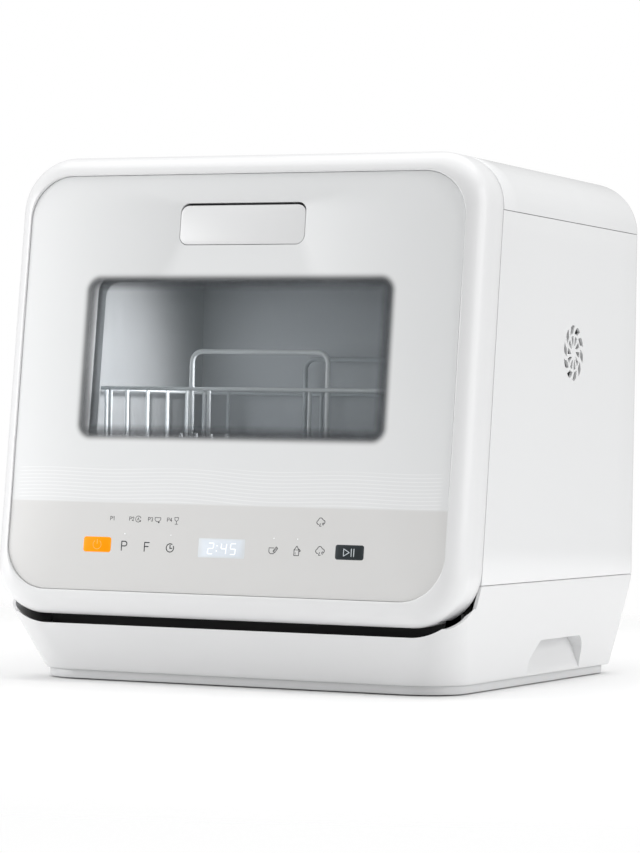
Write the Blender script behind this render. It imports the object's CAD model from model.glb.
import math

import bmesh
import bpy
from mathutils import Matrix, Vector


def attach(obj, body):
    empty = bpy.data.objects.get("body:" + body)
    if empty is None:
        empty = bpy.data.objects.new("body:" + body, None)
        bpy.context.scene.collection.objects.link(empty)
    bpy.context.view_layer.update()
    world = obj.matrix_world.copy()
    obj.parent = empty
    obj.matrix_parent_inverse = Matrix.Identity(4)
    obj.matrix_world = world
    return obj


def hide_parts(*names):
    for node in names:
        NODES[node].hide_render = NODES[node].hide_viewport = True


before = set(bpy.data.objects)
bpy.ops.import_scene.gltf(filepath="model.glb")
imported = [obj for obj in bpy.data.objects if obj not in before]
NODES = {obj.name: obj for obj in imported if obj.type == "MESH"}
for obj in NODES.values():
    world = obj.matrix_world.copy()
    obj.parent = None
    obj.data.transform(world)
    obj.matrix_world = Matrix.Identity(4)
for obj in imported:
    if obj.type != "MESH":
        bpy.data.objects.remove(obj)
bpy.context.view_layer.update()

# ------------------------------------------------------------ dimensions, mm
HW, BODY_H, REAR_Y = 210.0, 435.0, 206.0
EDGE_R, REAR_R, FRONT_R, DOOR_D = 45.0, 18.0, 20.0, 46.4
TILT = math.radians(6.354)
ST, CT = math.sin(TILT), math.cos(TILT)
FY, DOOR_ZB = -223.6, 55.2
PV0, PV1, PW = 77.1, 421.1, 195.5


def d2w(x, w, v):
    """Door frame of reference (across, into the door, up the door) to the row frame, mm."""
    return (x, FY + v * ST + w * CT, v * CT - w * ST)


def vb(w):
    return (DOOR_ZB + w * ST) / CT


def vt(w):
    return (BODY_H + w * ST) / CT


def zv(z):
    """Height z on the panel face to distance up the door."""
    return z * 1.00618 + 0.26


# ------------------------------------------------------------------ materials
def new_mat(name):
    m = bpy.data.materials.new(name)
    m.use_nodes = True
    nt = m.node_tree
    b = nt.nodes["Principled BSDF"]
    return m, nt, b


def math_node(nt, op, a, b=None, c=None, clamp=False):
    n = nt.nodes.new("ShaderNodeMath")
    n.operation = op
    n.use_clamp = clamp
    for i, v in enumerate((a, b, c)):
        if v is None:
            continue
        if isinstance(v, (int, float)):
            n.inputs[i].default_value = v
        else:
            nt.links.new(v, n.inputs[i])
    return n.outputs[0]


def mix_colour(nt, f, a, b, blend="MIX"):
    n = nt.nodes.new("ShaderNodeMix")
    n.data_type = "RGBA"
    n.blend_type = blend
    for s, v in ((n.inputs[0], f), (n.inputs[6], a), (n.inputs[7], b)):
        if isinstance(v, (int, float)):
            s.default_value = v
        elif isinstance(v, tuple):
            s.default_value = (*v, 1) if len(v) == 3 else v
        else:
            nt.links.new(v, s)
    return n.outputs[2]


def ramp(nt, v, a, b, smooth=True):
    n = nt.nodes.new("ShaderNodeMapRange")
    n.interpolation_type = "SMOOTHSTEP" if smooth else "LINEAR"
    nt.links.new(v, n.inputs[0])
    n.inputs[1].default_value, n.inputs[2].default_value = a, b
    return n.outputs[0]


def surface(name, rgb, rough=0.35, metal=0.0, var=0.03, scale=9.0, bump=0.04, bump_scale=900.0,
            coat=0.0, coat_rough=0.1, ior=1.45, stretch=None, speck=0.0, emit=0.0, alpha=None, rvar=0.06):
    """A moulded, coated or metal surface: tone that drifts slowly, fine texture and uneven gloss."""
    m, nt, b = new_mat(name)
    tc = nt.nodes.new("ShaderNodeTexCoord")
    mp = nt.nodes.new("ShaderNodeMapping")
    nt.links.new(tc.outputs["Object"], mp.inputs[0])
    if stretch:
        mp.inputs["Scale"].default_value = stretch
    n1 = nt.nodes.new("ShaderNodeTexNoise")
    n1.inputs["Scale"].default_value = scale
    n1.inputs["Detail"].default_value = 3.0
    nt.links.new(mp.outputs[0], n1.inputs["Vector"])
    n2 = nt.nodes.new("ShaderNodeTexNoise")
    n2.inputs["Scale"].default_value = bump_scale
    n2.inputs["Detail"].default_value = 2.0
    nt.links.new(mp.outputs[0], n2.inputs["Vector"])
    dark = tuple(c * (1 - var) for c in rgb)
    light = tuple(min(1.0, c * (1 + var * 0.6)) for c in rgb)
    col = mix_colour(nt, n1.outputs["Fac"], dark, light)
    if speck:
        n3 = nt.nodes.new("ShaderNodeTexNoise")
        n3.inputs["Scale"].default_value = bump_scale * 0.5
        nt.links.new(mp.outputs[0], n3.inputs["Vector"])
        f = ramp(nt, n3.outputs["Fac"], 0.62, 0.75)
        f = math_node(nt, "MULTIPLY", f, speck)
        col = mix_colour(nt, f, col, tuple(c * 0.6 for c in rgb))
    nt.links.new(col, b.inputs["Base Color"])
    r = math_node(nt, "MULTIPLY_ADD", n1.outputs["Fac"], rvar, rough - rvar / 2)
    nt.links.new(r, b.inputs["Roughness"])
    b.inputs["Metallic"].default_value = metal
    b.inputs["IOR"].default_value = ior
    b.inputs["Coat Weight"].default_value = coat
    b.inputs["Coat Roughness"].default_value = coat_rough
    if bump:
        bn = nt.nodes.new("ShaderNodeBump")
        bn.inputs["Strength"].default_value = bump
        bn.inputs["Distance"].default_value = 0.0002
        nt.links.new(n2.outputs["Fac"], bn.inputs["Height"])
        nt.links.new(bn.outputs[0], b.inputs["Normal"])
    if emit:
        b.inputs["Emission Color"].default_value = (*rgb, 1)
        b.inputs["Emission Strength"].default_value = emit
    if alpha is not None:
        b.inputs["Alpha"].default_value = alpha
    return m


WHITE = (0.815, 0.82, 0.825)
M = {}
M["shell"] = surface("white_gloss_shell", WHITE, 0.24, var=0.012, scale=4, bump=0.02, bump_scale=700, coat=0.25, coat_rough=0.08)
M["frame"] = surface("white_gloss_frame", (0.80, 0.803, 0.808), 0.34, var=0.01, scale=4, bump=0.01, bump_scale=500, coat=0.2, coat_rough=0.16)
M["base"] = surface("white_satin_base", (0.775, 0.778, 0.782), 0.30, var=0.015, scale=5, bump=0.03, bump_scale=800)
M["flap"] = surface("white_gloss_flap", (0.815, 0.82, 0.825), 0.36, var=0.01, scale=12, bump=0.01, coat=0.1, coat_rough=0.25)
M["plinth"] = surface("grey_satin_plinth", (0.66, 0.665, 0.67), 0.38, var=0.03, scale=8, bump=0.06)
M["rear"] = surface("galvanised_white_rear", (0.76, 0.765, 0.77), 0.42, var=0.03, scale=7, bump=0.10, bump_scale=1400, speck=0.05)
M["black"] = surface("black_plastic", (0.012, 0.012, 0.013), 0.42, var=0.25, scale=14, bump=0.08)
M["dark"] = surface("dark_grey_plastic", (0.045, 0.047, 0.05), 0.40, var=0.18, scale=18, bump=0.10, speck=0.15)
M["grey"] = surface("grey_plastic", (0.27, 0.275, 0.285), 0.42, var=0.08, scale=16, bump=0.08)
M["liner"] = surface("pale_grey_plastic", (0.55, 0.56, 0.57), 0.38, var=0.05, scale=10, bump=0.06)
M["natural"] = surface("milky_plastic", (0.74, 0.77, 0.78), 0.34, var=0.05, scale=9, bump=0.05)
M["steel"] = surface("brushed_stainless", (0.66, 0.68, 0.69), 0.27, metal=1.0, var=0.10, scale=30, bump=0.05, bump_scale=260, stretch=(1, 1, 24), rvar=0.12)
M["tub"] = surface("tub_stainless", (0.48, 0.497, 0.515), 0.42, metal=0.6, var=0.06, scale=18, bump=0.03, bump_scale=300, stretch=(1, 14, 1), rvar=0.12)
M["zinc"] = surface("zinc_plated_steel", (0.55, 0.56, 0.57), 0.36, metal=1.0, var=0.16, scale=60, bump=0.10, speck=0.12, rvar=0.15)
M["rubber"] = surface("black_rubber", (0.022, 0.022, 0.024), 0.68, var=0.3, scale=25, bump=0.25, bump_scale=600)
M["gasket"] = surface("grey_rubber", (0.115, 0.12, 0.127), 0.60, var=0.15, scale=25, bump=0.18, bump_scale=600)
M["rack"] = surface("rack_coating", (0.70, 0.74, 0.77), 0.30, var=0.07, scale=60, bump=0.04, coat=0.3, coat_rough=0.15)
M["blue"] = surface("impeller_plastic", (0.06, 0.16, 0.34), 0.38, var=0.1, scale=30, bump=0.08)
M["motor"] = surface("motor_steel", (0.32, 0.33, 0.34), 0.38, metal=0.9, var=0.15, scale=40, bump=0.12, rvar=0.14)
M["board"] = surface("board_green", (0.02, 0.13, 0.055), 0.36, var=0.2, scale=120, bump=0.15, bump_scale=500, speck=0.4)
M["ink"] = surface("dark_ink", (0.022, 0.026, 0.03), 0.42, var=0.15, scale=200, bump=0.02)
M["ink_light"] = surface("pale_ink", (0.62, 0.67, 0.70), 0.40, var=0.06, scale=200, bump=0.02)
M["orange_line"] = surface("light_orange_ink", (1.0, 0.60, 0.16), 0.4, var=0.06, scale=200, bump=0.02, emit=0.12)
M["led"] = surface("led_window", (0.93, 0.95, 0.97), 0.3, var=0.04, scale=300, bump=0.02, emit=0.30)


def key_material(name, rgb, edge, x0, x1, z0, z1, emit=0.0, rough=0.42):
    """A lit key face: slightly brighter towards its middle, darker towards its rim."""
    m, nt, b = new_mat(name)
    tc = nt.nodes.new("ShaderNodeTexCoord")
    sp = nt.nodes.new("ShaderNodeSeparateXYZ")
    nt.links.new(tc.outputs["Object"], sp.inputs[0])
    cx, cz, hx, hz = (x0 + x1) / 2e3, (z0 + z1) / 2e3, (x1 - x0) / 2e3, (z1 - z0) / 2e3
    dx = math_node(nt, "DIVIDE", math_node(nt, "ABSOLUTE", math_node(nt, "SUBTRACT", sp.outputs[0], cx)), hx)
    dz = math_node(nt, "DIVIDE", math_node(nt, "ABSOLUTE", math_node(nt, "SUBTRACT", sp.outputs[2], cz)), hz)
    f = ramp(nt, math_node(nt, "MAXIMUM", dx, dz), 0.72, 1.02)
    noise = nt.nodes.new("ShaderNodeTexNoise")
    noise.inputs["Scale"].default_value = 160
    nt.links.new(tc.outputs["Object"], noise.inputs["Vector"])
    tone = mix_colour(nt, noise.outputs["Fac"], tuple(c * 0.95 for c in rgb), tuple(min(1, c * 1.04) for c in rgb))
    col = mix_colour(nt, f, tone, edge)
    nt.links.new(col, b.inputs["Base Color"])
    b.inputs["Roughness"].default_value = rough
    b.inputs["Specular IOR Level"].default_value = 0.10
    if emit:
        nt.links.new(col, b.inputs["Emission Color"])
        b.inputs["Emission Strength"].default_value = emit
    return m


M["orange"] = key_material("orange_key_face", (0.95, 0.295, 0.001), (0.93, 0.33, 0.010), -125, -99.7, 107.5, 119.9, emit=0.22)
M["slate"] = key_material("slate_key_face", (0.032, 0.038, 0.041), (0.048, 0.056, 0.061), 101.4, 126.1, 107.7, 119.5)
M["display"] = key_material("display_face", (0.74, 0.79, 0.85), (0.70, 0.73, 0.755), -20, 21.7, 105.8, 121.4, emit=0.06)


def panel_material():
    """Printed front sheet: pale cool field, warm strip below, fine wavy lines, and the clear
    window whose print fades through smoke grey."""
    m, nt, b = new_mat("printed_front_sheet")
    tc = nt.nodes.new("ShaderNodeTexCoord")
    sp = nt.nodes.new("ShaderNodeSeparateXYZ")
    nt.links.new(tc.outputs["Object"], sp.inputs[0])
    X = math_node(nt, "MULTIPLY", sp.outputs[0], 1000.0)
    Z = math_node(nt, "MULTIPLY", sp.outputs[2], 1000.0)
    # signed distance from a rounded rectangle, X +-135, z 204..331
    r = 9.0
    qx = math_node(nt, "SUBTRACT", math_node(nt, "ABSOLUTE", X), 135.0 - r)
    qz = math_node(nt, "SUBTRACT", math_node(nt, "ABSOLUTE", math_node(nt, "SUBTRACT", Z, 267.5)), 63.5 - r)
    ox = math_node(nt, "MAXIMUM", qx, 0.0)
    oz = math_node(nt, "MAXIMUM", qz, 0.0)
    out = math_node(nt, "SQRT", math_node(nt, "ADD", math_node(nt, "MULTIPLY", ox, ox), math_node(nt, "MULTIPLY", oz, oz)))
    ins = math_node(nt, "MINIMUM", math_node(nt, "MAXIMUM", qx, qz), 0.0)
    sd = math_node(nt, "SUBTRACT", math_node(nt, "ADD", out, ins), r)
    # print fades out over a few millimetres, and smoke goes on a little further in
    white = ramp(nt, sd, -1.5, 7.0)
    smoke = ramp(nt, sd, -10.0, 1.0)
    noise = nt.nodes.new("ShaderNodeTexNoise")
    noise.inputs["Scale"].default_value = 5
    nt.links.new(tc.outputs["Object"], noise.inputs["Vector"])
    # field colours
    low = ramp(nt, Z, 149.2, 147.4, smooth=False)
    field = mix_colour(nt, noise.outputs["Fac"], (0.775, 0.785, 0.79), (0.80, 0.808, 0.812))
    strip = mix_colour(nt, noise.outputs["Fac"], (0.695, 0.691, 0.682), (0.712, 0.708, 0.70))
    col = mix_colour(nt, low, field, strip)
    # wavy lines
    wob = math_node(nt, "MULTIPLY", math_node(nt, "SINE", math_node(nt, "MULTIPLY", X, 0.045)), 1.1)
    wob = math_node(nt, "ADD", wob, math_node(nt, "MULTIPLY", math_node(nt, "SINE", math_node(nt, "MULTIPLY", X, 0.017)), 1.6))
    ph = math_node(nt, "MULTIPLY", math_node(nt, "ADD", Z, wob), 2 * math.pi / 3.0)
    line = ramp(nt, math_node(nt, "SINE", ph), 0.45, 0.95)
    band = math_node(nt, "MULTIPLY", ramp(nt, Z, 147.5, 150.5), ramp(nt, Z, 179.5, 175.0))
    side = ramp(nt, math_node(nt, "ABSOLUTE", X), 192.0, 186.0)
    line = math_node(nt, "MULTIPLY", math_node(nt, "MULTIPLY", line, band), side)
    col = mix_colour(nt, math_node(nt, "MULTIPLY", line, 0.55), col, (0.93, 0.935, 0.94))
    col = mix_colour(nt, white, (0.040, 0.044, 0.050), col)
    nt.links.new(col, b.inputs["Base Color"])
    tint = math_node(nt, "MULTIPLY_ADD", smoke, 0.50, 0.07)
    alpha = math_node(nt, "MAXIMUM", tint, ramp(nt, sd, -2.5, 4.5))
    nt.links.new(alpha, b.inputs["Alpha"])
    b.inputs["Roughness"].default_value = 0.48
    return m


M["panel"] = panel_material()


def glass_material(name, rgb, alpha):
    m, nt, b = new_mat(name)
    tc = nt.nodes.new("ShaderNodeTexCoord")
    noise = nt.nodes.new("ShaderNodeTexNoise")
    noise.inputs["Scale"].default_value = 8
    nt.links.new(tc.outputs["Object"], noise.inputs["Vector"])
    col = mix_colour(nt, noise.outputs["Fac"], tuple(c * 0.9 for c in rgb), rgb)
    nt.links.new(col, b.inputs["Base Color"])
    b.inputs["Alpha"].default_value = alpha
    b.inputs["Roughness"].default_value = 0.06
    return m


M["glass"] = glass_material("inner_glass", (0.55, 0.62, 0.64), 0.10)

# ------------------------------------------------------------- mesh building


def make(name, verts, faces, mat, body, replaces=(), angle=38, mats=None):
    """verts in mm, row frame."""
    me = bpy.data.meshes.new(name)
    me.from_pydata([(x / 1000, y / 1000, z / 1000) for x, y, z in verts], [], faces)
    bm = bmesh.new()
    bm.from_mesh(me)
    bmesh.ops.remove_doubles(bm, verts=bm.verts, dist=1e-7)
    bmesh.ops.recalc_face_normals(bm, faces=bm.faces)
    bm.to_mesh(me)
    bm.free()
    me.materials.append(mat)
    for p in me.polygons:
        p.use_smooth = True
    me.set_sharp_from_angle(angle=math.radians(angle))
    o = bpy.data.objects.new(name, me)
    bpy.context.scene.collection.objects.link(o)
    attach(o, body)
    if replaces:
        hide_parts(*replaces)
    return o


def rrect(x0, x1, y0, y1, r, n=12, sub=1, extra=()):
    """Rounded rectangle, anticlockwise, n segments a corner, sides cut into sub pieces."""
    pts = []
    cs = [(x1 - r, y0 + r, -90), (x1 - r, y1 - r, 0), (x0 + r, y1 - r, 90), (x0 + r, y0 + r, 180)]
    for k, (cx, cy, a0) in enumerate(cs):
        arc = [(cx + r * math.cos(math.radians(a0 + 90 * i / n)), cy + r * math.sin(math.radians(a0 + 90 * i / n))) for i in range(n + 1)]
        pts += arc
        nx, ny, na = cs[(k + 1) % 4]
        q = (nx + r * math.cos(math.radians(na)), ny + r * math.sin(math.radians(na)))
        p = arc[-1]
        ts = [i / sub for i in range(1, sub)]
        if k in (0, 2) and extra:
            ts = sorted(set(ts) | {(e - p[1]) / (q[1] - p[1]) for e in extra if 0 < (e - p[1]) / (q[1] - p[1]) < 1})
        for t in ts:
            pts.append((p[0] + (q[0] - p[0]) * t, p[1] + (q[1] - p[1]) * t))
    return pts


def skin(rings, close=False, cap0=False, cap1=False, flip=False):
    """Quads between rings of the same length."""
    verts, faces = [], []
    n = len(rings[0])
    for r in rings:
        assert len(r) == n, (len(r), n)
        verts += r
    m = len(rings)
    for i in range(m if close else m - 1):
        j = (i + 1) % m
        for k in range(n):
            l = (k + 1) % n
            faces.append((i * n + k, i * n + l, j * n + l, j * n + k))
    if cap0:
        faces.append(tuple(range(n))[::-1])
    if cap1:
        faces.append(tuple((m - 1) * n + k for k in range(n)))
    return verts, faces


def prism(outline, f0, f1):
    """Solid between two placings of one outline."""
    return skin([[f0(p) for p in outline], [f1(p) for p in outline]], cap0=True, cap1=True)


def join(*parts):
    verts, faces = [], []
    for v, f in parts:
        k = len(verts)
        verts += list(v)
        faces += [tuple(i + k for i in g) for g in f]
    return verts, faces


def boxmesh(x0, x1, y0, y1, z0, z1, place=lambda x, y, z: (x, y, z)):
    c = [place(x, y, z) for z in (z0, z1) for y in (y0, y1) for x in (x0, x1)]
    return c, [(0, 2, 3, 1), (4, 5, 7, 6), (0, 1, 5, 4), (2, 6, 7, 3), (0, 4, 6, 2), (1, 3, 7, 5)]


def tool(verts, faces):
    me = bpy.data.meshes.new("cutter")
    me.from_pydata([(x / 1000, y / 1000, z / 1000) for x, y, z in verts], [], faces)
    bm = bmesh.new()
    bm.from_mesh(me)
    bmesh.ops.recalc_face_normals(bm, faces=bm.faces)
    bm.to_mesh(me)
    bm.free()
    o = bpy.data.objects.new("cutter", me)
    bpy.context.scene.collection.objects.link(o)
    return o


def cut(o, *cutters, angle=38, bevel=0.0, op="DIFFERENCE"):
    """Takes the cutters out of o's mesh."""
    for c in cutters:
        md = o.modifiers.new("cut", "BOOLEAN")
        md.operation = op
        md.solver = "EXACT"
        md.object = c
    if bevel:
        bv = o.modifiers.new("edge", "BEVEL")
        bv.width = bevel / 1000
        bv.segments = 2
        bv.limit_method = "ANGLE"
        bv.angle_limit = math.radians(50)
        bv.harden_normals = False
    bpy.context.view_layer.update()
    dg = bpy.context.evaluated_depsgraph_get()
    me = bpy.data.meshes.new_from_object(o.evaluated_get(dg))
    o.modifiers.clear()
    old = o.data
    o.data = me
    bpy.data.meshes.remove(old)
    for c in cutters:
        bpy.data.objects.remove(c)
    bm = bmesh.new()
    bm.from_mesh(me)
    bmesh.ops.remove_doubles(bm, verts=bm.verts, dist=2e-6)
    bmesh.ops.dissolve_degenerate(bm, edges=bm.edges, dist=1e-6)
    bm.to_mesh(me)
    bm.free()
    for p in me.polygons:
        p.use_smooth = True
    me.set_sharp_from_angle(angle=math.radians(angle))
    return o


def sdf_frame(x, v):
    """Distance inside the door's outline at its front."""
    y0, y1 = vb(0), vt(0)
    qx = abs(x) - (HW - EDGE_R)
    qy = abs(v - (y0 + y1) / 2) - ((y1 - y0) / 2 - EDGE_R)
    d = math.hypot(max(qx, 0), max(qy, 0)) + min(max(qx, qy), 0) - EDGE_R
    return -d


def w_front(x, v):
    i = sdf_frame(x, v)
    return 0.0 if i >= FRONT_R else FRONT_R - math.sqrt(max(0.0, FRONT_R**2 - (FRONT_R - i) ** 2))


# --------------------------------------------------------------- door frame
NS = 14
EXTRA = (200.0, 300.0)


def frame_ring(w, i, ww=None):
    o = rrect(-HW + i, HW - i, vb(w) + i, vt(w) - i, EDGE_R - i, NS, 6, EXTRA)
    return [(x, w, v) for x, v in o]


def plain_ring(x, v0, v1, r, w):
    return [(a, w, b) for a, b in rrect(-x, x, v0, v1, r, NS, 6, EXTRA)]


rings = [plain_ring(188, PV0 + 7, PV1 - 7, 30, 5.4), plain_ring(PW + 0.4, PV0 - 0.4, PV1 + 0.4, 37.4, 5.4)]
pocket = plain_ring(PW + 0.4, PV0 - 0.4, PV1 + 0.4, 37.4, 0)
first = frame_ring(1.2, 11.2)
LIP = 1.5
for deg in (0, 18, 36, 54, 72, 90):
    # rounded lip round the sheet
    a = math.radians(deg)
    ring = []
    for (x, _, v), (x2, _, v2) in zip(pocket, first):
        l = math.hypot(x2 - x, v2 - v)
        q = LIP * (1 - math.cos(a)) / max(l, LIP + 0.3)
        px, pv = x + (x2 - x) * q, v + (v2 - v) * q
        ring.append((px, w_front(px, pv) + LIP * (1 - math.sin(a)), pv))
    rings.append(ring)
for t in (0.35, 0.7):
    ring = []
    for (x, _, v), (x2, _, v2) in zip(pocket, first):
        q = LIP / max(math.hypot(x2 - x, v2 - v), LIP + 0.3)
        q = q + (1 - q) * t
        px, pv = x + (x2 - x) * q, v + (v2 - v) * q
        ring.append((px, w_front(px, pv), pv))
    rings.append(ring)
for deg in range(26, 91, 4):
    a = math.radians(deg)
    w, i = FRONT_R * (1 - math.cos(a)), FRONT_R * (1 - math.sin(a))
    rings.append(frame_ring(w, i))
for w in (20.0, 28.0, 37.5):
    rings.append(frame_ring(w, 0.0))
BACK = 46.35


def trim(ring, e=0.0):
    """Below the hinge line the rear edge follows a circle about it."""
    return [(x, min(w, 14 + math.sqrt(32.2**2 - (77.5 - v) ** 2) - e) if v < 77.5 else w, v) for x, w, v in ring]


rings.append(trim(frame_ring(BACK - 0.7, 0.0), 0.6))
rings.append(trim(frame_ring(BACK - 0.2, 0.15), 0.15))
rings.append(trim(frame_ring(BACK, 0.6)))
rings.append(trim(plain_ring(207.6, 62.6, 437.2, 42.2, BACK)))
rings.append(trim(plain_ring(207.2, 62.8, 436.6, 42, BACK - 0.5), 0.5))
rings.append(plain_ring(207.2, 62.8, 436.6, 42, 21))
rings.append(plain_ring(202.5, 63.5, 428.5, 38, 21))
rings.append(plain_ring(202.5, 63.5, 428.5, 38, 8.5))
rings.append(plain_ring(188, PV0 + 7, PV1 - 7, 30, 8.5))
rings = [[d2w(*p) for p in r] for r in rings]
v, f = skin(rings, close=True)
door_frame = make("door_frame_shell", v, f, M["frame"], "door", ["door_frame"], angle=42)
cutters = []
for s in (-1, 1):
    xs = sorted((s * 180.2, s * 190.6))
    cutters.append(tool(*boxmesh(xs[0], xs[1], 7.7, 24, 71.2, 132.5, d2w)))
    xs = sorted((s * 182.6, s * 188.0))
    cutters.append(tool(*boxmesh(xs[0], xs[1], 22, 60, 52, 72.5, d2w)))
    cutters.append(tool(*boxmesh(xs[0], xs[1], 11.5, 22.5, 66, 72.6, d2w)))
cut(door_frame, *cutters, angle=42)

# -------------------------------------------------------- printed front sheet
FX = 56.0


def sheet_outline():
    return rrect(-PW, PW, PV0, PV1, 37, 20, 1)


outer = sheet_outline()
hole = rrect(-FX - 0.6, FX + 0.6, 362.4, 397.4, 7.6, 20, 1)


def inset(pts, d):
    """Moves an outline inwards by d."""
    n = len(pts)
    res = []
    for i in range(n):
        p0, p1, p2 = Vector(pts[i - 1]), Vector(pts[i]), Vector(pts[(i + 1) % n])
        t = (p2 - p0)
        if t.length < 1e-9:
            t = Vector((1, 0))
        t.normalize()
        res.append((p1[0] - t[1] * d, p1[1] + t[0] * d))
    return res


F0 = 2.3
sr = []
for w, d in ((5.3, 0.0), (F0 + 0.2, 0.0), (F0 + 0.05, 0.06), (F0, 0.2)):
    sr.append([d2w(a, w, b) for a, b in inset(outer, d)])
for w, d in ((F0, -0.12), (F0 + 0.04, -0.04), (F0 + 0.12, 0.0), (5.3, 0.0)):
    sr.append([d2w(a, w, b) for a, b in inset(hole, d)])
v, f = skin(sr, close=True)
panel = make("front_sheet", v, f, M["panel"], "door",
             ["front_panel", "window_pane", "display_window", "power_key", "start_key"], angle=40)


# ------------------------------------------------------- printed marks and keys
def plate(outline, w0, w1):
    return prism(outline, lambda p: d2w(p[0], w0, p[1]), lambda p: d2w(p[0], w1, p[1]))


INK0, INK1 = 2.31, 2.25


def pz(pts):
    return [(x, zv(z)) for x, z in pts]


def ribbon(pts, width, closed=False):
    """A pen line of the given width through points (X, z), with round ends."""
    pts = [Vector(p) for p in pz(pts)]
    if closed:
        pts = pts + [pts[0], pts[1]]
    parts = []
    h = width / 2
    for a, b in zip(pts, pts[1:]):
        d = b - a
        if d.length < 1e-6:
            continue
        d.normalize()
        n = Vector((-d[1], d[0]))
        out = []
        ang = math.atan2(d[1], d[0])
        for k in range(7):
            t = ang + math.pi / 2 + math.pi * k / 6
            out.append((a[0] + h * math.cos(t), a[1] + h * math.sin(t)))
        for k in range(7):
            t = ang - math.pi / 2 + math.pi * k / 6
            out.append((b[0] + h * math.cos(t), b[1] + h * math.sin(t)))
        parts.append(plate(out, INK0, INK1))
    return join(*parts)


def disc(x, z, r, w0=INK0, w1=INK1):
    return plate([(x + r * math.cos(2 * math.pi * k / 20), zv(z) + r * math.sin(2 * math.pi * k / 20)) for k in range(20)], w0, w1)


def arc(cx, cz, r, a0, a1, n=18, ry=None):
    ry = ry or r
    return [(cx + r * math.cos(math.radians(a0 + (a1 - a0) * k / n)), cz + ry * math.sin(math.radians(a0 + (a1 - a0) * k / n))) for k in range(n + 1)]


def shift(pts, dx, dz, s=1.0):
    return [(x * s + dx, z * s + dz) for x, z in pts]


LETTER = {
    "P": [[(0, 0), (0, 1), (0.42, 1)] + arc(0.42, 0.74, 0.26, 90, -90, 10) + [(0, 0.48)]],
    "F": [[(0, 0), (0, 1), (0.62, 1)], [(0, 0.54), (0.5, 0.54)]],
    "1": [[(0.08, 0.78), (0.30, 1), (0.30, 0)]],
    "2": [arc(0.3, 0.72, 0.28, 170, -25, 10) + [(0.02, 0), (0.6, 0)]],
    "3": [arc(0.28, 0.74, 0.26, 150, -80, 10) + arc(0.28, 0.26, 0.27, 80, -150, 10)],
    "4": [[(0.44, 0), (0.44, 1), (0.0, 0.3), (0.62, 0.3)]],
}


def write(ch, x, z, h, width, squash=1.0):
    """A character whose lower left corner is at (x, z)."""
    return join(*[ribbon([(x + a * h * squash, z + b * h) for a, b in line], width) for line in LETTER[ch]])


ink = []
ink.append(write("P", -89.9, 109.5, 7.3, 0.85, 0.95))
ink.append(write("F", -68.9, 109.3, 7.1, 0.85, 0.95))
cx, cz = -45.6, 112.6
ink.append(ribbon(arc(cx, cz, 3.35, 60, 385, 30), 0.75))
ink.append(ribbon([(cx, cz + 2.2), (cx, cz - 0.3), (cx + 1.7, cz - 0.3)], 0.85))
# row of programme marks
for d, x in (("1", -101.8), ("2", -84.3), ("3", -67.0), ("4", -49.7)):
    ink.append(write("P", x, 133.8, 3.0, 0.42, 0.9))
    ink.append(write(d, x + 2.5, 133.8, 3.0, 0.42, 0.9))
cx, cz = -76.2, 135.2                                   # quick wash: dial with a mark
ink.append(ribbon(arc(cx, cz, 2.45, 20, 330, 22), 0.42))
ink.append(ribbon([(cx - 0.7, cz - 0.9), (cx, cz + 1.1), (cx + 0.7, cz - 0.9)], 0.4))
ink.append(disc(cx + 1.9, cz - 1.5, 0.62))
cx, cz = -58.3, 135.0                                   # pan
ink.append(ribbon([(cx - 2.6, cz + 1.8), (cx + 2.6, cz + 1.8), (cx + 2.6, cz + 0.2), (cx + 1.0, cz - 1.4), (cx - 1.2, cz - 1.4), (cx - 2.6, cz + 0.2)], 0.42, True))
ink.append(disc(cx + 0.9, cz - 1.9, 0.75))
cx, cz = -41.3, 134.6                                   # goblet
ink.append(ribbon([(cx - 1.7, cz + 2.7), (cx + 1.7, cz + 2.7), (cx + 1.4, cz + 0.6), (cx, cz - 0.4), (cx - 1.4, cz + 0.6)], 0.42, True))
ink.append(ribbon([(cx, cz - 0.4), (cx, cz - 2.5)], 0.42))
ink.append(ribbon([(cx - 1.2, cz - 2.7), (cx + 1.2, cz - 2.7)], 0.42))


def cloud(cx, cz, s):
    """Cloud with two small sparks under it."""
    c = arc(cx - 2.0 * s, cz - 0.2 * s, 1.8 * s, 270, 110, 8) + arc(cx - 0.2 * s, cz + 1.7 * s, 2.0 * s, 160, 20, 8) + arc(cx + 2.3 * s, cz + 0.2 * s, 1.6 * s, 75, -60, 7)
    r = [ribbon(c, 0.55)]
    r.append(ribbon([(cx - 0.3 * s, cz - 1.2 * s), (cx - 1.1 * s, cz - 3.4 * s), (cx + 0.5 * s, cz - 3.4 * s)], 0.5))
    k = (cx + 2.2 * s, cz - 1.5 * s)
    r.append(ribbon([(k[0], k[1] + 1.1 * s), (k[0] + 0.8 * s, k[1]), (k[0], k[1] - 1.1 * s), (k[0] - 0.8 * s, k[1])], 0.42, True))
    return join(*r)


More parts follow.
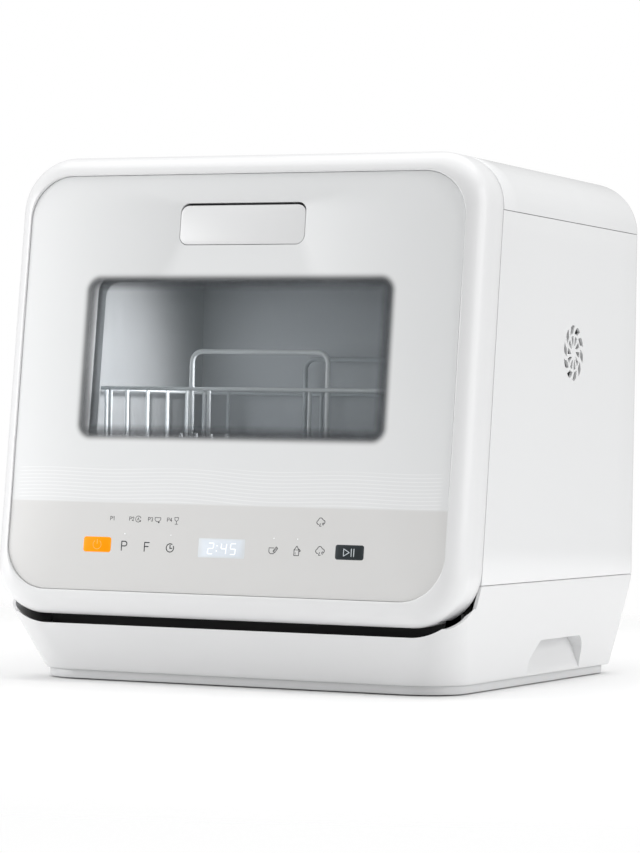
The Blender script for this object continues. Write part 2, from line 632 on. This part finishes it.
ink.append(cloud(87.2, 136.9, 0.92))
ink.append(cloud(88.0, 114.0, 0.98))
cx, cz = 46.6, 113.4                                    # pot with a brush
ink.append(ribbon([(cx - 3.4, cz + 1.9), (cx - 3.4, cz - 1.4), (cx - 2.2, cz - 2.7), (cx + 0.4, cz - 2.7), (cx + 1.6, cz - 1.4)], 0.5))
ink.append(ribbon([(cx - 3.4, cz + 1.9), (cx + 0.8, cz + 1.9)], 0.5))
ink.append(ribbon([(cx + 0.2, cz - 0.6), (cx + 3.0, cz + 2.8), (cx + 4.2, cz + 1.6), (cx + 1.8, cz - 1.8)], 0.5, True))
ink.append(ribbon([(cx + 1.2, cz - 0.6), (cx + 3.2, cz + 1.6)], 0.4))
cx, cz = 67.4, 113.4                                    # bottle
ink.append(ribbon([(cx - 2.1, cz - 3.6), (cx + 2.1, cz - 3.6), (cx + 2.1, cz + 1.0), (cx + 0.2, cz + 3.9), (cx - 2.1, cz + 1.0)], 0.5, True))
ink.append(ribbon([(cx - 2.1, cz + 0.9), (cx + 2.1, cz + 0.9)], 0.4))
ink.append(ribbon([(cx + 2.2, cz + 1.6), (cx + 3.4, cz + 0.2), (cx + 2.3, cz - 0.6)], 0.6))
ink.append(ribbon([(cx - 1.0, cz - 1.2), (cx - 1.0, cz - 2.6)], 0.4))
v, f = join(*ink)
make("printed_marks", v, f, M["ink"], "door", angle=30)


def key_plate(x0, x1, z0, z1, r, lift=0.12):
    o = rrect(x0, x1, zv(z0), zv(z1), r, 8, 1)
    rr = []
    for w, d in ((2.5, 0.0), (F0 - lift + 0.06, 0.0), (F0 - lift, 0.12)):
        rr.append([d2w(a, w, b) for a, b in inset(o, d)])
    return skin(rr, cap0=True, cap1=True)


v, f = key_plate(-125, -99.7, 107.5, 119.9, 2.2)
make("power_key_face", v, f, M["orange"], "door", angle=50)
v, f = key_plate(101.4, 126.1, 107.7, 119.5, 1.9)
make("start_key_face", v, f, M["slate"], "door", angle=50)
v, f = key_plate(-20, 21.7, 105.8, 121.4, 0.8, lift=0.04)
make("display_face", v, f, M["display"], "door", angle=50)
INK0, INK1 = 2.30, 2.13
cx, cz = -112.5, 113.6
p = join(ribbon(arc(cx, cz, 3.7, 128, 412, 28), 0.42), ribbon([(cx, cz + 4.2), (cx, cz + 0.6)], 0.42))
make("power_mark", p[0], p[1], M["orange_line"], "door", angle=30)
cx, cz = 113.0, 113.5
p = join(ribbon([(cx - 4.4, cz - 2.9), (cx - 4.4, cz + 2.9), (cx + 0.6, cz)], 0.6, True),
         ribbon([(cx + 2.3, cz - 2.9), (cx + 2.3, cz + 2.9)], 0.65), ribbon([(cx + 4.5, cz - 2.9), (cx + 4.5, cz + 2.9)], 0.65))
make("start_mark", p[0], p[1], M["ink_light"], "door", angle=30)
# time on the display, made of bar segments
SEG = {"2": "abged", "4": "fgbc", "5": "afgcd"}


def digit(ch, x, z, w, h, sl=0.10):
    c = {"a": ((0.12, 1), (0.88, 1)), "b": ((1, 0.94), (1, 0.56)), "c": ((1, 0.44), (1, 0.06)), "d": ((0.12, 0), (0.88, 0)),
         "e": ((0, 0.44), (0, 0.06)), "f": ((0, 0.94), (0, 0.56)), "g": ((0.12, 0.5), (0.88, 0.5))}
    r = []
    for s in SEG[ch]:
        r.append(ribbon([(x + a * w + sl * b * h, z + b * h) for a, b in c[s]], 0.78))
    return join(*r)


INK0, INK1 = 2.30, 2.22
digs = [digit("2", -11.6, 109.0, 4.6, 8.6), digit("4", 0.0, 109.0, 4.6, 8.6), digit("5", 8.4, 109.0, 4.6, 8.6),
        disc(-3.6, 111.4, 0.6), disc(-3.2, 115.6, 0.6)]
for x in (-87.7, -45.5, 47.0, 67.9):
    digs.append(disc(x, 123.0, 0.4 if x > -80 else 0.6))
v, f = join(*digs)
make("lit_digits", v, f, M["led"], "door", angle=30)

# ---------------------------------------------------------------- handle flap
fo = rrect(-FX, FX, 363, 395.2, 7, 16, 1)
fr = []
for w, d in ((5.0, 0.5), (4.7, 0.0), (2.6, 0.0), (2.46, 0.05), (2.4, 0.18)):
    fr.append([d2w(a, w, b) for a, b in inset(fo, d)])
parts = [skin(fr, cap0=True, cap1=True)]


def rod_x(x0, x1, w, v, r, n=24):
    c = [(w + r * math.cos(2 * math.pi * k / n), v + r * math.sin(2 * math.pi * k / n)) for k in range(n)]
    return skin([[d2w(x0, a, b) for a, b in c], [d2w(x1, a, b) for a, b in c]], cap0=True, cap1=True)


parts.append(rod_x(-63.6, 63.6, 7.6, 366, 1.5))
for x in (-52, 46):
    parts.append(boxmesh(x, x + 6, 5.0, 9.1, 364.5, 367.5, d2w))
v, f = join(*parts)
make("handle_flap_plate", v, f, M["flap"], "handle_flap", ["handle_flap"], angle=40)

# ---------------------------------------------------------------- top cover
ZS = 389.8


def seam_y(z, w=47.0):
    """y of the door plane at depth w, height z."""
    return FY + (z * ST + w) / CT


def arch(i, t_in=0.0, n=16, z0=ZS):
    """Front-view arch of the top cover, inset by i, from the left foot over to the right foot."""
    hw, top, r = HW - i, BODY_H - i, EDGE_R - i
    pts = [(-hw, z0)]
    for k in range(n + 1):
        a = math.pi - math.pi / 2 * k / n
        pts.append((-hw + r + r * math.cos(a), top - r + r * math.sin(a)))
    for k in range(n + 1):
        a = math.pi / 2 - math.pi / 2 * k / n
        pts.append((hw - r + r * math.cos(a), top - r + r * math.sin(a)))
    pts.append((hw, z0))
    return pts


def open_skin(rings):
    verts, faces = [], []
    n = len(rings[0])
    for r in rings:
        verts += r
    for i in range(len(rings) - 1):
        for k in range(n - 1):
            faces.append((i * n + k, i * n + k + 1, (i + 1) * n + k + 1, (i + 1) * n + k))
    return verts, faces


def cover_rings(t):
    """Outer (t = 0) or inner surface."""
    res = []
    if t == 0:
        e = [(48.4, 0.7), (48.6, 0.25), (49.1, 0.0)]
        for w, i in e:
            res.append([(x, seam_y(z, w), z) for x, z in arch(i)])
        res.append([(x, -100.0, z) for x, z in arch(0)])
    else:
        res.append([(x, seam_y(z, 48.4), z) for x, z in arch(t)])
        res.append([(x, -100.0, z) for x, z in arch(t)])
    res.append([(x, 60.0, z) for x, z in arch(t)])
    rr = REAR_R - t
    for k in range(0, 13):
        a = math.pi / 2 * k / 12
        y = REAR_Y - t - rr * (1 - math.sin(a))
        i = rr * (1 - math.cos(a)) + t
        res.append([(x, y, z) for x, z in arch(i)])
    return res


outer_r, inner_r = cover_rings(0), cover_rings(2.5)
m = len(outer_r)
while len(inner_r) < m:
    a, b = inner_r[0], inner_r[1]
    inner_r.insert(1, [tuple(p[j] + (q[j] - p[j]) * 0.3 for j in range(3)) for p, q in zip(a, b)])
# closed shell: outer rings, then inner rings back, ends joined by the rims
ov, of_ = open_skin(outer_r)
iv, if_ = open_skin(inner_r)
n = len(outer_r[0])
base_i = len(ov)
verts = ov + iv
faces = of_ + [tuple(i + base_i for i in g)[::-1] for g in if_]
for i in range(m - 1):                                   # feet of the arch
    for k, fl in ((0, False), (n - 1, True)):
        a, b, c, d = i * n + k, (i + 1) * n + k, base_i + (i + 1) * n + k, base_i + i * n + k
        faces.append((a, b, c, d) if not fl else (a, d, c, b))
for k in range(n - 1):                                   # front rim
    faces.append((k, base_i + k, base_i + k + 1, k + 1))
# rear: the last outer and inner rings are the flat rear wall, closed across
last_o, last_i = (m - 1) * n, base_i + (m - 1) * n
faces.append(tuple(last_o + k for k in range(n)))
faces.append(tuple(last_i + k for k in range(n))[::-1])
faces.append((last_o, last_o + n - 1, last_i + n - 1, last_i))
top = make("top_cover_shell", verts, faces, M["shell"], "casing", ["top_cover"], angle=40)
lid_o = rrect(60 - 46, 60 + 46, 150 - 26, 150 + 28.5, 1, 10, 1)
cut(top, tool(*prism(lid_o, lambda p: (p[0], p[1], 420), lambda p: (p[0], p[1], 450))), angle=40)

# ---------------------------------------------------------------- side panels
Z0, Z1 = 89.1, 389.4
T = 2.5


def side_path(t, z, w=47.0, e=0.0):
    """Plan of the side panel at height z, from the front edge round the rear corner."""
    pts = []
    yf = seam_y(z, w + e)
    yr = REAR_Y - REAR_R
    for k in range(9):
        pts.append((HW - t, yf + (yr - yf) * k / 8))
    r = REAR_R - t
    for k in range(1, 15):
        a = math.pi / 2 * k / 14
        pts.append((HW - REAR_R + r * math.cos(a), yr + r * math.sin(a)))
    pts.append((190.0 + e, REAR_Y - t))
    return pts


def side_loop(z, b):
    """Closed plan loop; b insets the outer edges a little near the top and bottom."""
    o = side_path(b, z, e=max(b, 0.0))
    i = side_path(T, z)
    return [(x, y, z) for x, y in o] + [(x, y, z) for x, y in i[::-1]]


lev = [(Z0, 0.5), (Z0 + 0.15, 0.15), (Z0 + 0.5, 0.0)]
zz = [Z0 + 40 * k for k in range(1, 8)]
levels = lev + [(z, 0.0) for z in zz if z < Z1 - 1] + [(Z1 - 0.5, 0.0), (Z1 - 0.15, 0.15), (Z1, 0.5)]


def side_mesh(s):
    rr = [[(x * s, y, z) for x, y, z in side_loop(z, b)] for z, b in levels]
    return skin(rr, cap0=True, cap1=True)


for s, nm in ((1, "right"), (-1, "left")):
    v, f = side_mesh(s)
    o = make(f"side_panel_{nm}_shell", v, f, M["shell"], "casing", [f"side_panel_{nm}"], angle=40)
    if s > 0:
        cs = []

        def pol(r, a):
            return (r * math.cos(math.radians(a)), -r * math.sin(math.radians(a)))

        for k in range(10):
            for poly in ([pol(5.4, -8), pol(8.5, -7), pol(14.2, -5), pol(14.4, 5), pol(14.2, 15), pol(8.5, 14)],
                         [pol(16.6, -12), pol(19.6, -6), pol(22.3, 0), pol(23.3, 6), pol(23.6, 14), pol(23, 22), pol(20, 17), pol(16.8, 12)]):
                q = [(a * math.cos(math.radians(36 * k)) - b * math.sin(math.radians(36 * k)),
                      a * math.sin(math.radians(36 * k)) + b * math.cos(math.radians(36 * k))) for a, b in poly]
                cs.append(prism(q, lambda p: (195, 33.6 + p[0], 279.8 + p[1]), lambda p: (215, 33.6 + p[0], 279.8 + p[1])))
        cut(o, tool(*join(*cs)), angle=40)

# --------------------------------------------------------------- base housing
BF = [0, 0.09, 0.22, 0.39, 0.575, 0.78, 1]
BZ = [88.7, 78, 68, 54, 39, 24, 8.2]


def bf(z):
    for (z0, f0), (z1, f1) in zip(zip(BZ, BF), zip(BZ[1:], BF[1:])):
        if z >= z1:
            return f0 + (f1 - f0) * (z0 - z) / (z0 - z1)
    return 1.0


def bf_s(z):
    """Eased version of the taper, still inside the straight one."""
    if z > 87.5 or z < 10:
        return bf(z)
    return (bf(z - 3) + bf(z) * 2 + bf(min(z + 3, 88.7))) / 4


def plan(x, y0, y1, rf, rb, n=12, sub=4):
    """Outline with different radii at the front and the rear."""
    pts = []
    cs = [(x - rf, y0 + rf, -90, rf), (x - rb, y1 - rb, 0, rb), (rb - x, y1 - rb, 90, rb), (rf - x, y0 + rf, 180, rf)]
    for k, (cx, cy, a0, r) in enumerate(cs):
        c = [(cx + r * math.cos(math.radians(a0 + 90 * i / n)), cy + r * math.sin(math.radians(a0 + 90 * i / n))) for i in range(n + 1)]
        nx, ny, na, nr = cs[(k + 1) % 4]
        q = (nx + nr * math.cos(math.radians(na)), ny + nr * math.sin(math.radians(na)))
        pts += c + [(c[-1][0] + (q[0] - c[-1][0]) * i / sub, c[-1][1] + (q[1] - c[-1][1]) * i / sub) for i in range(1, sub)]
    return pts


def base_ring(z, t, n=12):
    f_ = bf_s(z)
    return [(x, y, z) for x, y in plan(HW - 20 * f_ - t, -217.5 + 36 * f_ + t, REAR_Y - t, 20 + 24 * f_ - t, REAR_R - t, n)]


zs = [8.2, 8.35, 8.7] + [10 + 3 * k for k in range(26)] + [87.6, 88.2, 88.55, 88.7]
zs = sorted(set(z for z in zs if z <= 88.7))


def edge_t(z):
    if z > 88.0:
        return 0.5 * ((z - 88.0) / 0.7) ** 2
    if z < 8.9:
        return 0.6 * ((8.9 - z) / 0.7) ** 2
    return 0.0


out_r = [base_ring(z, edge_t(z)) for z in zs]
inn_r = [base_ring(z, 2.8) for z in zs if z >= 11.2]
rr = [out_r[k] for k in range(len(out_r))]
loop = rr + inn_r[::-1]
v, f = skin(loop, cap0=True, cap1=True)
base = make("base_shell", v, f, M["base"], "casing", ["base_housing"], angle=40)
mouth = rrect(-211.5, 211.5, 49.9, 260, 48, 24, 1)
cutters = [tool(*prism(mouth, lambda p: d2w(p[0], -60, p[1]), lambda p: d2w(p[0], 47, p[1])))]
# beside the door's lower corners the base's front edge sweeps back
ear = [(-30, 58), (20, 58), (21.9, 58.4), (23.4, 59.3), (25.5, 61.1), (27.8, 63.2), (30.4, 65.5), (33, 67.9), (36.1, 70.5), (39.4, 73.2), (42.9, 75.9), (46.9, 79), (46.9, 96), (-30, 96)]
for s in (-1, 1):
    cutters.append(tool(*prism(ear, lambda p: d2w(s * 184, *p), lambda p: d2w(s * 216, *p))))
cut(base, *cutters, angle=40)


def soften(pts, r, n=5):
    """Rounds the corners of a closed outline."""
    res = []
    for i, b in enumerate(pts):
        a, c = pts[i - 1], pts[(i + 1) % len(pts)]
        la, lc = math.dist(a, b), math.dist(b, c)
        p = [b[k] + (a[k] - b[k]) * min(r, la / 2.2) / la for k in (0, 1)]
        q = [b[k] + (c[k] - b[k]) * min(r, lc / 2.2) / lc for k in (0, 1)]
        for j in range(n + 1):
            t = j / n
            res.append(tuple(p[k] * (1 - t) ** 2 + 2 * b[k] * t * (1 - t) + q[k] * t * t for k in (0, 1)))
    return res


# recess let into each side of the base, deep under its top edge and running out to nothing below
grip_o = soften([(-12, 7), (-16.7, 22.3), (-1.6, 38.4), (93.5, 38.4), (104.6, 30.7), (113.5, 7)], 4.0)


def x_back(z, d=0.0):
    """The recess's back wall leans out downwards."""
    return 184 + (38.5 - z) * 0.21986 - d


cutters = []
for s in (-1, 1):
    cutters.append(tool(*skin([[(s * 216.0, y, z) for y, z in grip_o], [(s * x_back(z), y, z) for y, z in grip_o]], cap0=True, cap1=True)))
cut(base, *cutters, angle=40)
parts = []
g_in = soften([(-13.6, 12.2), (-16.7, 22.3), (-1.6, 38.4), (93.5, 38.4), (104.6, 30.7), (111.6, 12.2)], 4.0)
g_out = soften([(-15.4, 11.4), (-18.6, 22.7), (-2.4, 40.1), (94.1, 40.1), (106.2, 31.7), (113.6, 11.4)], 4.6)
for s in (-1, 1):
    # lining of the recess: back wall, roof, ends

    def face(z, d):
        return s * (HW - 20 * bf_s(z) - d)

    parts.append(skin([[(s * x_back(z, 0.05), y, z) for y, z in g_in], [(max if s > 0 else min)((face(z, 2.7), y, z), (s * x_back(z, 0.04), y, z)) for y, z in g_in],
                       [(max if s > 0 else min)((face(z, 2.7), y, z), (s * x_back(z, 1.6), y, z)) for y, z in g_out], [(s * x_back(z, 1.7), y, z) for y, z in g_out]],
                      cap0=True, cap1=True))
v, f = join(*parts)
make("grip_linings", v, f, M["base"], "casing", angle=30)

# --------------------------------------------------------------------- plinth
pr = []
for z, t in ((1.0, 0.8), (1.25, 0.25), (1.8, 0.0), (7.6, 0.0), (8.0, 0.25), (8.1, 0.7)):
    pr.append([(x, y, z) for x, y in plan(187.5 - t, -178.5 + t, 194.5 - t, 41 - t, 18 - t, 16, 1)])
v, f = skin(pr, cap0=True, cap1=True)
plinth = make("plinth_shell", v, f, M["plinth"], "casing", ["plinth"], angle=40)
cs = []
for x in (-150, 150):
    for y in (-140, 140):
        c = [(x + 11.2 * math.cos(2 * math.pi * k / 32), y + 11.2 * math.sin(2 * math.pi * k / 32)) for k in range(32)]
        cs.append(prism(c, lambda p: (p[0], p[1], -1), lambda p: (p[0], p[1], 4.2)))
cut(plinth, tool(*join(*cs)), angle=40)

# ------------------------------------------------------------------ dish rack
curve = bpy.data.curves.new("rack_wires", "CURVE")
curve.dimensions = "3D"
curve.bevel_depth = 0.0017
curve.bevel_resolution = 4
curve.use_fill_caps = True


def wire(pts, r, closed=False):
    sp = curve.splines.new("POLY")
    sp.points.add(len(pts) - 1)
    for q, (x, y, z) in zip(sp.points, pts):
        q.co = (x / 1000, y / 1000, z / 1000, 1)
        q.radius = r / 1.7
    sp.use_cyclic_u = closed


RX, RY0, RY1, RZ, RB = 156.0, -143.7, 86.0, 243.0, 166.0
wire([(x, y, RZ) for x, y in rrect(-RX, RX, RY0, RY1, 12, 8, 1)], 1.65, True)
for y, s in ((RY0 + 2.1, 1), (RY1 - 2.1, -1)):
    hoop = [(-62, y, RB - 1)] + [(-62 + 9 - 9 * math.cos(math.radians(a)), y, 265 + 9 * math.sin(math.radians(a))) for a in range(0, 91, 15)]
    hoop += [(62 - 9 + 9 * math.sin(math.radians(a)), y, 265 + 9 * math.cos(math.radians(a))) for a in range(0, 91, 15)] + [(62, y, RB - 1)]
    wire(hoop, 2.05)
    for x in (-138, -46, 46, 138):
        wire([(x, y, RB - 1), (x, y, RZ + 1.5)], 1.6)
for s in (-1, 1):
    for dy in (24, 62, 100, 138, 176, 210):
        wire([(s * (RX - 2.2), RY0 + dy, RB - 1), (s * (RX - 2.2), RY0 + dy, RZ + 1)], 1.6)
for x in (-138, -92, -46, -15, 15, 46, 92, 138):
    wire([(x, RY0 + 1, RB), (x, RY1 - 1, RB)], 1.65)
for y in (RY0 + 3.4, RY0 + 62, RY0 + 120, RY0 + 178, RY1 - 3.4):
    wire([(-RX + 1, y, RB + 2.6), (RX - 1, y, RB + 2.6)], 1.65)
for s in (-1, 1):
    wire([(s * (RX - 3.4), RY0 + 1, RB + 0.6), (s * (RX - 3.4), RY1 - 1, RB + 0.6)], 1.65)
for x in (-92, 46):
    for k in range(7):
        y = RY0 + 18.3 + 29 * k
        wire([(x, y, RB), (x, y - 2.4, 186), (x, y - 4.8, 206)], 1.5)
rack = bpy.data.objects.new("rack_wires", curve)
bpy.context.scene.collection.objects.link(rack)
curve.materials.append(M["rack"])
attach(rack, "rack")
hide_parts("dish_rack", "rack_walls")

# ------------------------------------------------------------- carried-over CAD
LOOK = {
    "feet": "rubber", "kick_plate": "black", "rear_panel": "rear", "tub": "tub", "tub_front_frame": "shell",
    "door_gasket": "gasket", "rack_rails": "zinc", "sump": "dark", "spray_posts": "grey", "spray_arm_nuts": "dark",
    "filter_plate": "steel", "heater_element": "steel", "wash_pump_casing": "dark", "wash_motor": "motor",
    "suction_pipe": "rubber", "supply_pipe": "rubber", "drain_pump": "dark", "drain_hose": "gasket",
    "water_tank": "natural", "inlet_valve": "natural", "cord_gland": "rubber", "main_board_box": "natural",
    "fan_housing": "dark", "hinge_brackets": "zinc", "hinge_pins": "steel", "door_lock": "dark",
    "fill_port": "natural", "body_screws": "zinc", "control_board": "board", "handle_pocket": "liner",
    "window_frame": "liner", "inner_window": "glass", "inner_liner": "tub", "door_back_cover": "shell",
    "detergent_cup": "natural", "hinge_knuckles": "zinc", "latch_tongue": "dark", "flap_spring": "steel",
    "detergent_lid": "liner", "rack_glides": "natural", "lower_spray_arm": "grey", "upper_spray_arm": "grey",
    "filter_cylinder": "dark", "fan_rotor": "black", "pump_impeller": "blue", "fill_lid": "flap",
}
for name, o in NODES.items():
    key = LOOK.get(name)
    if key is None:
        continue
    o.data.materials.clear()
    o.data.materials.append(M[key])
    for p in o.data.polygons:
        p.use_smooth = True
        p.material_index = 0
    o.data.set_sharp_from_angle(angle=math.radians(34))

# ------------------------------------------------------------ floor and lights
me = bpy.data.meshes.new("floor")
S = 12.0
me.from_pydata([(-S, -S, 0), (S, -S, 0), (S, S, 0), (-S, S, 0)], [], [(0, 1, 2, 3)])
fm, fnt, fb = new_mat("pale_floor")
ftc = fnt.nodes.new("ShaderNodeTexCoord")
fn_ = fnt.nodes.new("ShaderNodeTexNoise")
fn_.inputs["Scale"].default_value = 3.0
fnt.links.new(ftc.outputs["Object"], fn_.inputs["Vector"])
fnt.links.new(mix_colour(fnt, fn_.outputs["Fac"], (0.90, 0.90, 0.90), (0.93, 0.93, 0.93)), fb.inputs["Base Color"])
fsp = fnt.nodes.new("ShaderNodeVectorMath")
fsp.operation = "LENGTH"
fnt.links.new(ftc.outputs["Object"], fsp.inputs[0])
fnt.links.new(ramp(fnt, fsp.outputs["Value"], 1.35, 0.75), fb.inputs["Alpha"])
fb.inputs["Roughness"].default_value = 0.75
fb.inputs["Specular IOR Level"].default_value = 0.1
me.materials.append(fm)
floor = bpy.data.objects.new("floor", me)
bpy.context.scene.collection.objects.link(floor)

world = bpy.data.worlds.new("studio")
bpy.context.scene.world = world
world.use_nodes = True
wnt = world.node_tree
bg = wnt.nodes["Background"]
bg.inputs[0].default_value = (1.0, 1.0, 1.0, 1)
path = wnt.nodes.new("ShaderNodeLightPath")
# the backdrop is plain white; as a light it is a little dimmer
wnt.links.new(math_node(wnt, "MULTIPLY_ADD", path.outputs["Is Camera Ray"], 0.58, 0.42), bg.inputs[1])


def area(name, loc, target, size, power, colour=(1, 1, 1), size_y=None):
    l = bpy.data.lights.new(name, "AREA")
    l.shape = "RECTANGLE"
    l.size = size
    l.size_y = size_y or size
    l.energy = power
    l.color = colour
    o = bpy.data.objects.new(name, l)
    o.location = loc
    o.rotation_euler = (Vector(target) - Vector(loc)).to_track_quat("-Z", "Y").to_euler()
    bpy.context.scene.collection.objects.link(o)
    return o


area("key_left", (-1.4, -0.95, 0.5), (-0.14, -0.15, 0.26), 0.9, 12.8)
area("fill_right", (2.0, 0.1, 0.9), (0.1, 0.05, 0.22), 1.4, 16.0)
area("top_soft", (0.1, 0.1, 2.4), (0, 0, 0), 3.0, 52.0)
pl = bpy.data.lights.new("chamber_fill", "SPOT")
pl.energy = 8.5
pl.spot_size = math.radians(66)
pl.spot_blend = 1.0
pl.shadow_soft_size = 0.04
inside = bpy.data.objects.new("chamber_fill", pl)
inside.location = (0.08, -0.07, 0.30)
inside.rotation_euler = (Vector((-0.17, -0.075, 0.25)) - Vector((0.08, -0.07, 0.30))).to_track_quat("-Z", "Y").to_euler()
bpy.context.scene.collection.objects.link(inside)

# --------------------------------------------------------------------- camera
cam_data = bpy.data.cameras.new("camera")
cam_data.sensor_width = 36.0
cam_data.lens = 144.975
cam_data.clip_start, cam_data.clip_end = 0.05, 60
cam = bpy.data.objects.new("camera", cam_data)
bpy.context.scene.collection.objects.link(cam)
az, el, ro = math.radians(24.452), math.radians(-0.249), math.radians(1.039)
back = Vector((math.sin(az) * math.cos(el), -math.cos(az) * math.cos(el), math.sin(el)))
fwd = -back
right = fwd.cross(Vector((0, 0, 1))).normalized()
up = right.cross(fwd)
r2 = right * math.cos(ro) + up * math.sin(ro)
u2 = -right * math.sin(ro) + up * math.cos(ro)
mw = Matrix(((r2[0], u2[0], back[0], 1.21703), (r2[1], u2[1], back[1], -2.69577), (r2[2], u2[2], back[2], 0.20119), (0, 0, 0, 1)))
cam.matrix_world = mw
bpy.context.scene.camera = cam
bpy.context.scene.view_settings.view_transform = "Standard"
